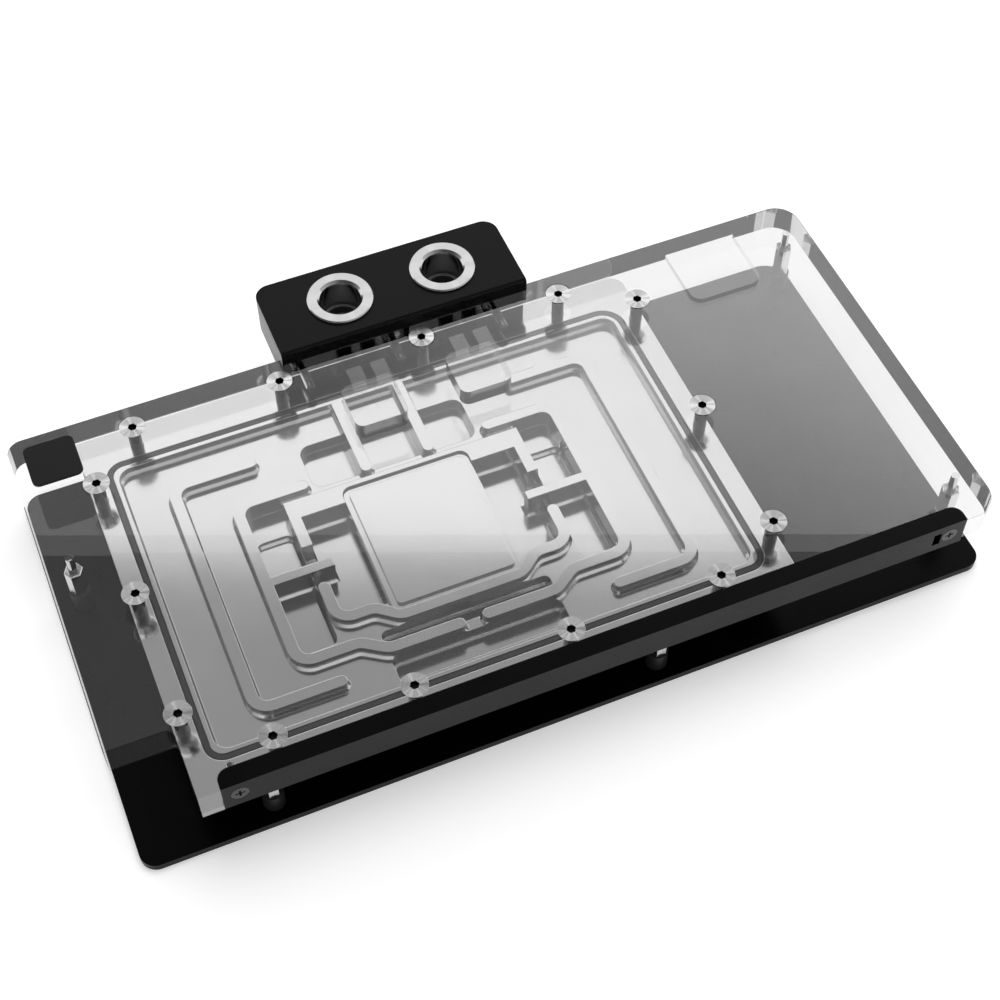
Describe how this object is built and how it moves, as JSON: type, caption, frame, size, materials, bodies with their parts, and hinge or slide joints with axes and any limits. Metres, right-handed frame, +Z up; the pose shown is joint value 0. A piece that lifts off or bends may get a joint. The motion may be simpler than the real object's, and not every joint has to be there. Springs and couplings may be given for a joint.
{
  "type": "gpu water block",
  "caption": "Full-cover water block for a graphics card: clear cover over a nickel plated channel plate, a port block with threaded ports, a light bar and a backplate.",
  "frame": {"origin": "under the middle of the block's bounding box, on the underside of the backplate", "axes": "+X along the card's length, +Y from the light bar towards the port block, +Z up, away from the backplate"},
  "size_m": [0.2666, 0.1632, 0.0365],
  "materials": {
    "black_anodised": "fine matt black anodised aluminium",
    "nickel_plate": "bright nickel plating on milled copper",
    "clear_acrylic": "polished clear acrylic",
    "black_rubber": "moulded black rubber cord",
    "black_acetal": "fine milled black acetal",
    "steel": "turned stainless steel",
    "ring_nickel": "turned and nickel plated brass",
    "black_screw": "black oxide steel",
    "led_board": "white lacquered circuit board with lamps",
    "socket_white": "moulded white socket",
    "badge_black": "smooth black badge plate, bare"
  },
  "bodies": {
    "root": {"backplate": "black_anodised", "backplate_screws": "black_screw", "badge": "badge_black", "bar_screw_left": "black_screw", "bar_screw_right": "black_screw", "clear_cover": "clear_acrylic", "cold_plate": "nickel_plate", "cover_screws_back": "steel", "cover_screws_front": "steel", "cover_screws_left": "steel", "cover_screws_right": "steel", "cover_seal": "black_rubber", "jet_plate": "nickel_plate", "joint_seal_left": "black_rubber", "joint_seal_right": "black_rubber", "led_socket": "socket_white", "led_strip": "led_board", "light_bar": "black_anodised", "port_block": "black_acetal", "port_block_screws": "steel", "port_ring_left": "ring_nickel", "port_ring_right": "ring_nickel", "post_front_left": "steel", "post_front_right": "steel", "post_left": "steel", "post_right_back": "steel", "post_right_front": "steel", "spacer_front_left": "black_acetal", "spacer_front_right": "black_acetal", "spacer_left": "black_acetal", "spacer_right_back": "black_acetal", "spacer_right_front": "black_acetal"}
  },
  "joints": []
}
